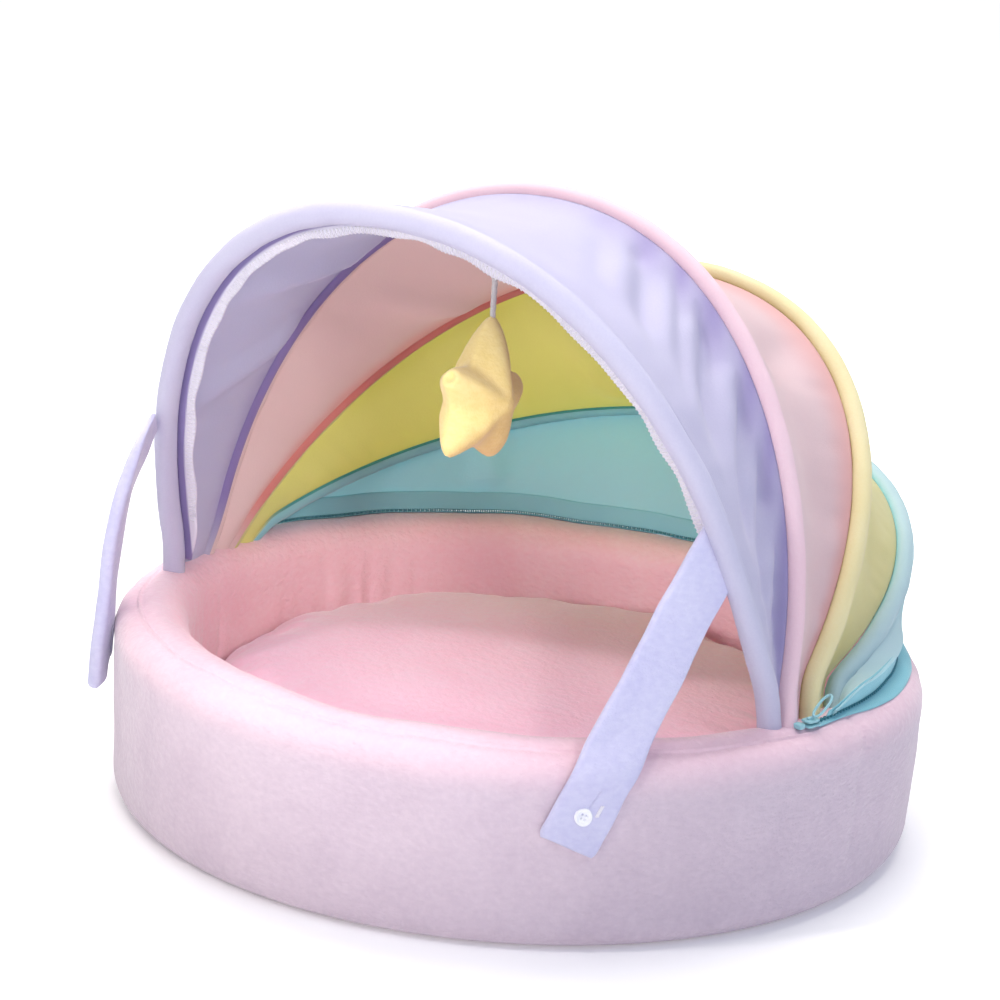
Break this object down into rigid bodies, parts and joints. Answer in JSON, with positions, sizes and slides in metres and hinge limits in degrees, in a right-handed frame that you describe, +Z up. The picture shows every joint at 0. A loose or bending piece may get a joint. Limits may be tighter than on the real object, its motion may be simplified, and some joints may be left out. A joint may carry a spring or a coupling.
{
  "type": "cat canopy bed",
  "caption": "Round plush cat bed: padded wall and filled cushion under a canopy of pastel cloth panels on sewn-in ribs, zipped round the back, strapped to the wall, with a hanging star toy.",
  "frame": {"origin": "on the floor, in the middle of the bed's flat underside", "axes": "+Z up, the canopy's mouth faces -Y, +X to the right of someone who looks into the mouth"},
  "size_m": [0.5, 0.5318, 0.3889],
  "materials": {
    "base_plush": "short pale pink plush",
    "cushion_plush": "short pink plush",
    "lavender_cloth": "brushed lavender cloth",
    "pink_cloth": "brushed pink cloth",
    "yellow_cloth": "brushed yellow cloth",
    "blue_cloth": "brushed blue cloth",
    "zip_tape": "woven teal tape",
    "zip_coil": "dark teal nylon coil",
    "zip_slider": "teal lacquer",
    "button": "white gloss",
    "star_plush": "short yellow plush",
    "cord": "light grey braid"
  },
  "bodies": {
    "root": {"bed_base": "base_plush", "seat_cushion": "cushion_plush", "rib_front": "lavender_cloth", "rib_pink": "pink_cloth", "rib_yellow": "yellow_cloth", "rib_blue": "blue_cloth", "panel_lavender": "lavender_cloth", "panel_pink": "pink_cloth", "panel_yellow": "yellow_cloth", "panel_blue": "blue_cloth", "zip_tape_lower": "zip_tape", "zip_tape_upper": "zip_tape", "zip_coil": "zip_coil", "zip_slider": "zip_slider", "zip_pull": "zip_slider", "strap_right": "lavender_cloth", "button_right": "button", "strap_left": "lavender_cloth", "button_left": "button", "star_toy": "star_plush", "star_cord": "cord"}
  },
  "joints": []
}
